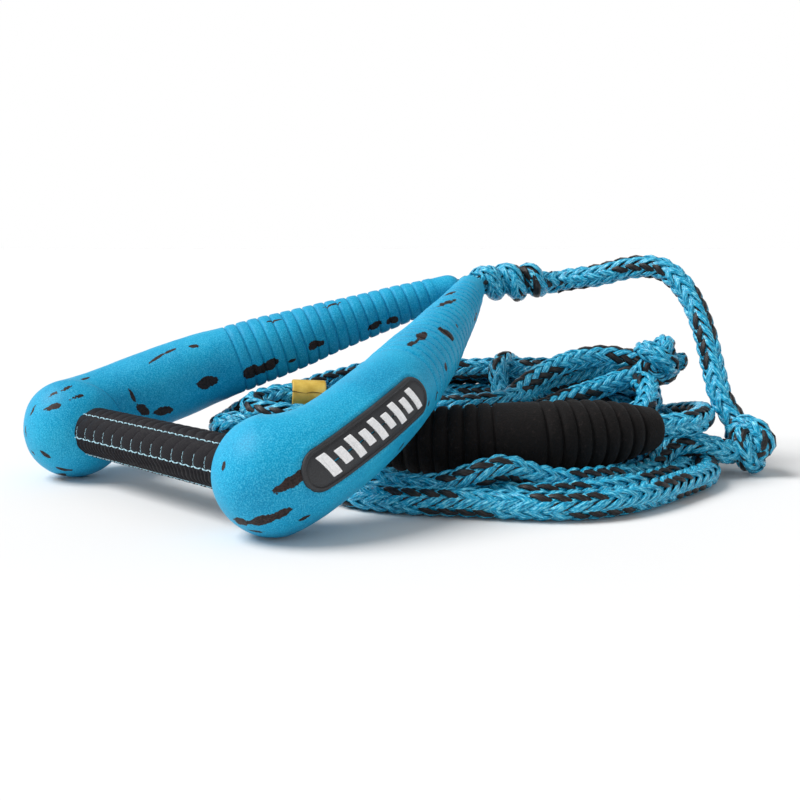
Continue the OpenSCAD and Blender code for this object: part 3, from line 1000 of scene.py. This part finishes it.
def badge_point(x, y, height):
    """Points above the foam at places of the badge's own plane, in the handle's plane, left arm."""
    centre, along, across, lifted = badge_frame()
    t = np.full(np.shape(x), BADGE_T)
    angle = BADGE_LIFT + np.asarray(y) / ARM_RADIUS[3]
    aim = np.stack([x, y], -1)
    nudge = 1e-4

    def at(t, angle):
        ring = fan(angle, outward(arm_direction(t)), UP)
        return lay(arm_centre(t)) + (arm_radius(t) + height)[..., None] * ring

    def miss(t, angle):
        local = at(t, angle) - centre
        return np.stack([local @ along, local @ across], -1) - aim

    for _ in range(12):
        now = miss(t, angle)
        by_t = (miss(t + nudge, angle) - now) / nudge
        by_angle = (miss(t, angle + nudge) - now) / nudge
        det = by_t[..., 0] * by_angle[..., 1] - by_t[..., 1] * by_angle[..., 0]
        t = t - (now[..., 0] * by_angle[..., 1] - now[..., 1] * by_angle[..., 0]) / det
        angle = angle - (by_t[..., 0] * now[..., 1] - by_t[..., 1] * now[..., 0]) / det
    return at(t, angle)


def stadium_ring(inset, count):
    """Evenly spread points of the badge's outline, drawn in by inset."""
    straight = (BADGE_L - BADGE_W) / 2
    corner = BADGE_W / 2
    half_way = 2 * straight + pi * corner      # along one straight side and round one end
    run = np.linspace(0, 2 * half_way, count, endpoint=False) + straight
    half_run = run % half_way
    turn = pi / 2 + np.maximum(half_run - 2 * straight, 0) / corner
    x = straight - np.minimum(half_run, 2 * straight) + (corner - inset) * np.cos(turn)
    y = (corner - inset) * np.sin(turn)
    side = np.where(run // half_way % 2 == 0, 1, -1)
    return side * x, side * y


BADGE_PROFILE = [(0.0001, -0.0014), (0.0, 0.0002), (0.0002, 0.0007), (0.0006, 0.0010), (0.0011, 0.0011),
                 (0.0016, 0.0010), (0.0019, 0.0007), (0.0021, 0.0003), (0.0026, 0.0002), (0.0029, 0.0004),
                 (0.0040, 0.00045), (0.0060, 0.00045), (0.0080, 0.00045), (0.0100, 0.00045)]


def badge_material():
    s = Shader("badge_rubber")
    fine = s.noise(s.place(), 1800.0, 2.0)
    wear = s.noise(s.place(), 90.0)
    base = s.ramp(fine, (0.3, srgb(24, 25, 28)), (0.7, srgb(48, 49, 53)))
    colour = s.mix(s.span(wear, 0.4, 0.75, 0.0, 0.5), base, srgb(56, 57, 62))
    return s.done(colour, s.span(wear, 0.3, 0.7, 0.42, 0.6), (fine, 0.2, 0.0003))


def badge_piece(name, side):
    count = 132
    rings = [badge_point(*stadium_ring(inset, count), height) for inset, height in BADGE_PROFILE]
    return mirrored(name, rings, capped_faces(len(rings), count), side)


def mark_outline(number):
    """One slanted bar with its corners cut a little, tall and short ones in turn."""
    high = BADGE_W * (0.30 if number % 2 == 0 else 0.21)
    half = 0.0026
    lean = high * tan(radians(20))
    middle = (number - 4) * 0.0092
    corners = [(-half - lean, -high), (half - lean, -high), (half + lean, high), (-half + lean, high)]
    corners = np.array([(x + middle, y) for x, y in corners])
    ends = np.roll(corners, -1, axis=0)
    shares = (0.04, 0.27, 0.5, 0.73, 0.96)
    return np.array([a + (b - a) * share for a, b in zip(corners, ends) for share in shares])


def marks_piece(name, side):
    """Nine raised slanted bars, a plain pattern in place of a printed name."""
    points, faces = [], []
    for number in range(9):
        outline = mark_outline(number)
        middle = outline.mean(axis=0)
        start = len(points)
        for grow, height in ((1.0, 0.0001), (1.0, 0.00085), (0.95, 0.00105), (0.88, 0.00112)):
            ring = middle + (outline - middle) * np.array([1 - (1 - grow) * 2.0, grow])
            points.extend(badge_point(ring[:, 0], ring[:, 1], height))
        faces.extend(capped_faces(4, len(outline), start))
    return mirrored(name, points, faces, side, smooth=False)


badge_rubber = badge_material()
badge_marks = grained("badge_marks", (234, 235, 237), (252, 252, 253), (0.5, 0.62), (0.12, 0.0003), 900.0,
                      stops=(0.25, 0.6))
for name, side in (("left", LEFT), ("right", RIGHT)):
    plate = badge_piece(f"badge_{name}_plate", side)
    dress(plate, "handle", "badge_rubber", [badge_rubber], f"badge_{name}")
    marks = marks_piece(f"badge_{name}_bars", side)
    dress(marks, "handle", "badge_marks", [badge_marks], f"badge_marks_{name}")

# ---- grip ----

GRIP_R = 0.0147
COVER_R = 0.01385           # cover between its folds
COVER_INNER_R = 0.0132
GRIP_HALF = 0.080
SEAMS = [radians(a) for a in (55, -6, -58, -125, 125)]   # angle 0 faces away from the rope
SCALE_PITCH = 0.0103


def bar_point(angle, y, radius):
    angle, y, radius = np.broadcast_arrays(angle, y, radius)
    return np.stack([BAR_X - radius * np.cos(angle), y, BULB_R + radius * np.sin(angle)], -1)


def scale_edge(angle):
    """How far a scale's edge leans along the bar at an angle between two seams."""
    share = np.clip((angle - SEAMS[1]) / (SEAMS[0] - SEAMS[1]), 0, 1)
    return 0.0012 * np.sin(pi * share * 0.8) - 0.0078 * share**2.4


def grip_material():
    s = Shader("grip_fabric")
    place = s.place()
    fuzz = s.noise(place, 800.0)
    bands = {"Vector": place, "Scale": 420.0, "Distortion": 1.5}
    weave = s.node("TexWave", bands, bands_direction="DIAGONAL").outputs["Fac"]
    colour = s.mix(0.45, s.ramp(fuzz, (0.3, srgb(10, 10, 13)), (0.7, srgb(34, 32, 37))), srgb(20, 19, 24))
    return s.done(colour, s.span(fuzz, 0.3, 0.7, 0.55, 0.8), (weave, 0.25, 0.0003), (fuzz, 0.3, 0.0003),
                  Sheen_Weight=0.02, Sheen_Roughness=0.4, Specular_IOR_Level=0.15)


def grip_relief(y, angle):
    """Height of the ruched cover above its foam, on a grid of places."""
    scale_high, pleat_high, fold_high = 0.0011, 0.00075, 0.0008
    pleat_pitch, fold_pitch, seam_half = 0.0037, 0.0082, 0.0011
    upper = (angle > SEAMS[1]) & (angle < SEAMS[0])
    lower = (angle > SEAMS[2]) & (angle <= SEAMS[1])
    phase = (y - scale_edge(angle)) / SCALE_PITCH
    part = phase - np.floor(phase)
    scale = scale_high * np.sqrt(np.clip(1 - np.abs(2 * part - 1) ** 2.2, 0, 1)) * (0.7 + 0.3 * part)
    wander = 0.0010 * np.sin(angle * 9 + 40 * y) + 0.0006 * np.sin(230 * y)
    pleat = pleat_high * np.abs(np.sin(pi * (y + wander) / pleat_pitch))
    swing = 0.6 * wander + 0.002 * np.sin(3 * angle)
    fold = fold_high * np.abs(np.sin(pi * (y + swing) / fold_pitch)) ** 0.7
    height = np.where(upper, scale, np.where(lower, pleat, fold))
    for seam in SEAMS:
        height = height * (1 - 0.9 * bell(turn_from(seam, angle) * GRIP_R, seam_half))
    return height


def grip_piece():
    rows, around = 460, 128
    y = np.linspace(-GRIP_HALF, GRIP_HALF, rows)[:, None]
    angle = np.linspace(-pi, pi, around, endpoint=False)[None, :]
    outside = bar_point(angle, y, COVER_R + grip_relief(y, angle))
    inside = [bar_point(angle, end, COVER_INNER_R) for end in (GRIP_HALF, -GRIP_HALF)]
    points = np.vstack([outside, *inside])
    return make_mesh("grip_cover_fabric", points.reshape(-1, 3), hoop_faces(rows + 2, around)[:, ::-1])


def stitch_tubes():
    """Every stitch as a thin arched tube: five lengthwise seams, and a few at each scale's edge."""
    tubes = []
    share = np.array([-1, -0.8, -0.35, 0, 0.35, 0.8, 1])
    size = np.array([0.25, 0.8, 1, 1, 1, 0.8, 0.25]) * 0.00036
    lift = np.array([-0.0004, 0.0, 0.0003, 0.0004, 0.0003, 0.0, -0.0004])

    def add(angle, y, half, slant, thin=1.0):
        y_at = y + share * half * cos(slant)
        angle_at = angle + share * half * sin(slant) / GRIP_R
        base = COVER_R + 0.0001 + grip_relief(y_at, angle_at) * 0.8
        line = bar_point(angle_at, y_at, base + lift)
        tubes.append(line[:, None] + thin * size[:, None, None] * ring_round(line, 6))

    for row, seam in enumerate(SEAMS):
        for number in range(46):
            slant = radians(16 if number % 2 else -14)
            add(seam, -0.0775 + number * 0.00345 + 0.0004 * sin(number * 2.1 + row), 0.0016, slant)
    for number in range(-7, 8):
        for share_up in (0.10, 0.24, 0.38):
            angle = SEAMS[1] + share_up * (SEAMS[0] - SEAMS[1])
            y = number * SCALE_PITCH + float(scale_edge(np.array(angle)))
            add(angle, y, 0.0011, radians(82), 0.45)
    return tubes


grip = dress(grip_piece(), "handle", "grip_fabric", [grip_material()], "grip_cover")
thread = grained("grip_thread", (120, 184, 205), (206, 232, 240), (0.45, 0.65), (0.4, 0.0003), 2600.0, 2.0)
dress(joined_tubes("grip_stitches", stitch_tubes()), "handle", "grip_thread", [thread], "grip_stitching")

# ---- bridle and the knot at the tip ----

KNOT_BASE = np.array([0.109, 0.0, 0.115])
KNOT_WAY = np.array([cos(radians(-25)), sin(radians(-25)), 0.0])
KNOT_SIDE = np.array([-KNOT_WAY[1], KNOT_WAY[0], 0.0])
KNOT_LEN = 0.060


def bridle_line():
    """The cord that runs through the bar, round both bulbs and out at both tips."""
    half = [(0.2652, 0.0052), (0.256, 0.007)]
    half += [tuple(p) for p in arm_centre(np.arange(1.0, 0.19, -0.05))]
    half += [(0.0195, 0.1125), (0.011, 0.1122), (0.004, 0.1075), (0.0005, 0.099), (0, 0.085), (0, 0.05)]
    points = [handle_point(x, y) for x, y in half] + [handle_point(0, 0)]
    points += [handle_point(x, -y) for x, y in half[::-1]]
    return smooth_line(points, 4)


def knot_wraps():
    """Turns of the bridle wound round its own legs, closing in on the tow rope at the far end."""
    turns = 2.85
    share = np.linspace(0, 1, 110)
    angle = 2 * pi * turns * share + 0.4
    swell = 0.0016 * np.sin(pi * share) + 0.0007 * np.cos(5 * pi * share)
    reach = 0.0050 + swell - 0.0016 * np.clip((share - 0.8) / 0.2, 0, 1)
    along = 0.004 + (KNOT_LEN - 0.015) * share
    return KNOT_BASE + along[:, None] * KNOT_WAY + reach[:, None] * fan(angle, KNOT_SIDE, UP)


braid("bridle_braid", bridle_line(), "handle", "bridle_rope", radius=0.0049, pairs=6, pitch=0.042,
      ring=0.0036)
braid("apex_knot_wraps", knot_wraps(), "handle", "apex_knot", radius=0.0076, pairs=6, pitch=0.062,
      ring=0.0026, dark=(0, 1))
core_line = smooth_line([KNOT_BASE + s * KNOT_WAY for s in (-0.001, 0.01, 0.03, 0.05, 0.0585)], 6)
braid("apex_knot_core", core_line, "handle", radius=0.0084, pairs=6, pitch=0.05, ring=0.004)

# ---- melted tip of the tail ----


def tail_tip_piece():
    way = unit(tail_line[-1] - tail_line[-3])
    share = np.linspace(0, pi / 2 * 0.97, 9)
    line = tail_line[-1] + (np.sin(share) * 0.0035 - 0.0012)[:, None] * way
    radius = 0.0056 * np.cos(share) + 0.0002
    ring = ring_round(line, 28)
    tube = line[:, None] + radius[:, None, None] * ring
    uneven = lumps(tube.reshape(-1, 3), 0.004, 3).reshape(tube.shape[:2])
    return joined_tubes("rope_tail_tip", [tube + (uneven * 0.0004)[:, :, None] * ring])


rope_melted = grained("melted_end", (14, 14, 15), (44, 43, 44), (0.3, 0.55), (0.5, 0.0008), 700.0, 2.0)
tail_tip = dress(tail_tip_piece(), "root", "rope", [rope_melted])

# ---- hidden parts ----


def metal_material():
    s = Shader("bar_metal")
    lines = s.noise(s.place((900, 20, 900)), 1.0)
    colour = s.ramp(lines, (0.3, (0.55, 0.56, 0.58)), (0.7, (0.75, 0.76, 0.78)))
    return s.done(colour, s.span(lines, 0.3, 0.7, 0.25, 0.42), Metallic=1.0)


plug_plastic = grained("plug_plastic", (30, 30, 32), (52, 52, 55), (0.45, 0.6))
node_looks = {
    "bar_tube": metal_material(),
    "bar_plug_left": plug_plastic,
    "bar_plug_right": plug_plastic,
    "grip_foam": grained("grip_core", (40, 40, 42), (70, 70, 72), (0.75, 0.9)),
}
for node, look in node_looks.items():
    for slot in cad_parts[node].material_slots:
        slot.material = look

# ---- floor and light ----


def floor_piece(reach=40.0):
    corners = [(-reach, -reach, 0), (reach, -reach, 0), (reach, reach, 0), (-reach, reach, 0)]
    floor = make_mesh("floor", np.array(corners), [[0, 1, 2, 3]])
    s = Shader("floor")
    colour = s.ramp(s.noise(s.place(), 3.0, 2.0), (0.3, (0.79, 0.79, 0.79)), (0.7, (0.81, 0.81, 0.81)))
    floor.data.materials.append(s.done(colour, 0.8, Specular_IOR_Level=0.1))


def key_light():
    """A far, wide, soft light that falls evenly on the floor."""
    data = bpy.data.lights.new("key", "SUN")
    data.energy = 3.3
    data.angle = radians(36)
    toward_light = Vector((-0.97, 0.78, 1.50))
    add_object("key", data).rotation_euler = (-toward_light).to_track_quat("-Z", "Y").to_euler()


def studio_world():
    """White walls up to a little above the horizon, and a dimmer ceiling."""
    s = Shader("studio", "worlds")
    sky = s.node("TexCoord").outputs["Generated"]
    height = s.node("SeparateXYZ", {0: sky}).outputs["Z"]
    fade = {"Value": height, "From Min": 0.24, "From Max": 0.42, "To Min": 1.0, "To Max": 0.42}
    strength = s.node("MapRange", fade).outputs["Result"]
    s.feed(s.tree.nodes["Background"], {"Color": (1, 1, 1, 1), "Strength": strength})
    scene.world = s.owner


floor_piece()
key_light()
studio_world()
scene.view_settings.view_transform = "Standard"
